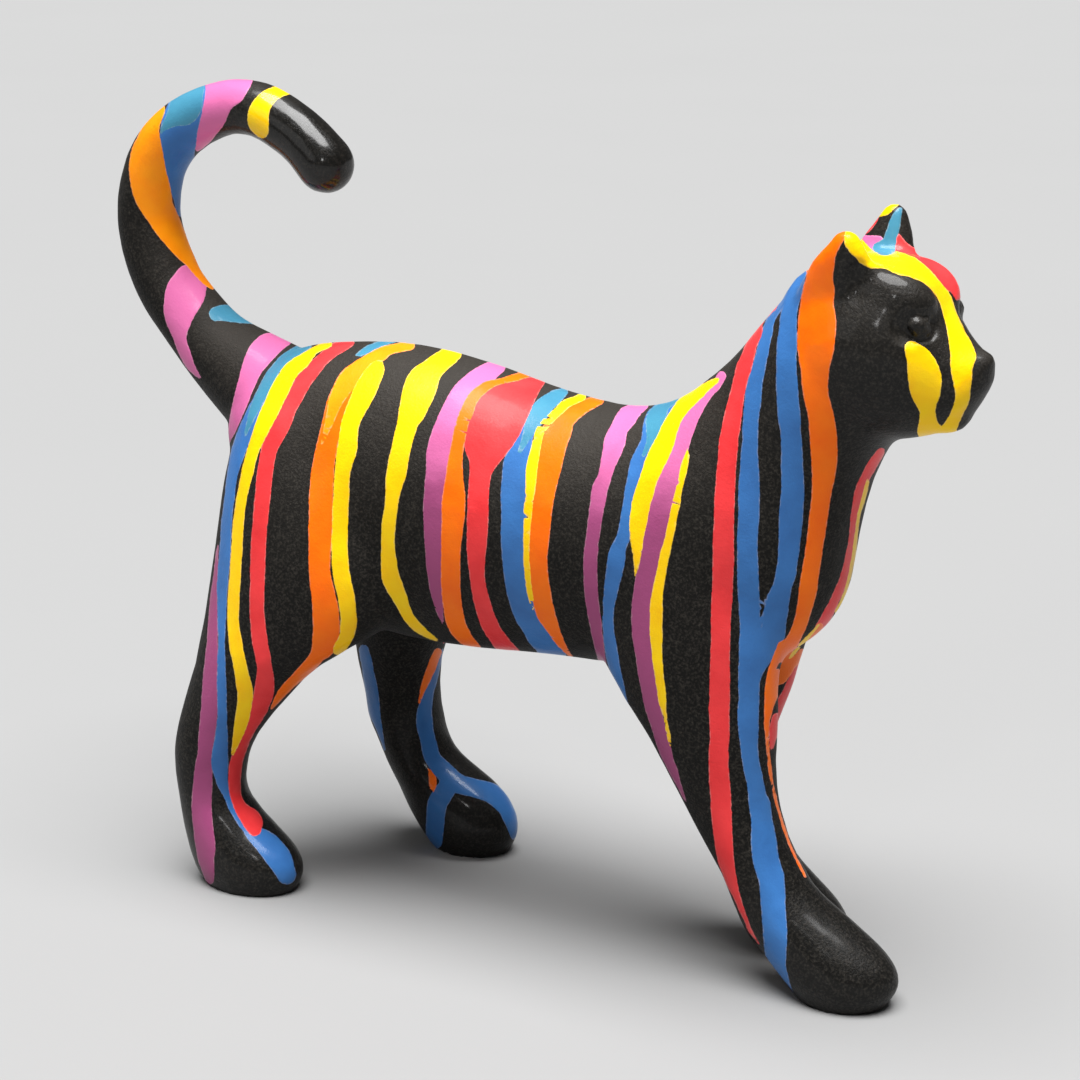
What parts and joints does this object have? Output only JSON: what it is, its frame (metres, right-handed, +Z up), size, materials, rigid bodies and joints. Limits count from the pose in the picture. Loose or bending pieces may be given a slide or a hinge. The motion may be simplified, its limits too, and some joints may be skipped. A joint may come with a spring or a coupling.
{
  "type": "papier-mache cat",
  "caption": "Hollow papier-mache cat ornament, walking with its head up and its tail curled over its back, standing on flat soles.",
  "frame": {"origin": "on the floor, under the middle of the bounding box", "axes": "+X towards the nose, +Y towards the cat's left, +Z up; X is the longest extent"},
  "size_m": [0.4104, 0.1228, 0.3459],
  "materials": {
    "painted_paper": "black acrylic paint over papier-mache, with run stripes of bright paint, satin on head, paws and tail tip"
  },
  "bodies": {
    "root": {"cat": "painted_paper"}
  },
  "joints": []
}
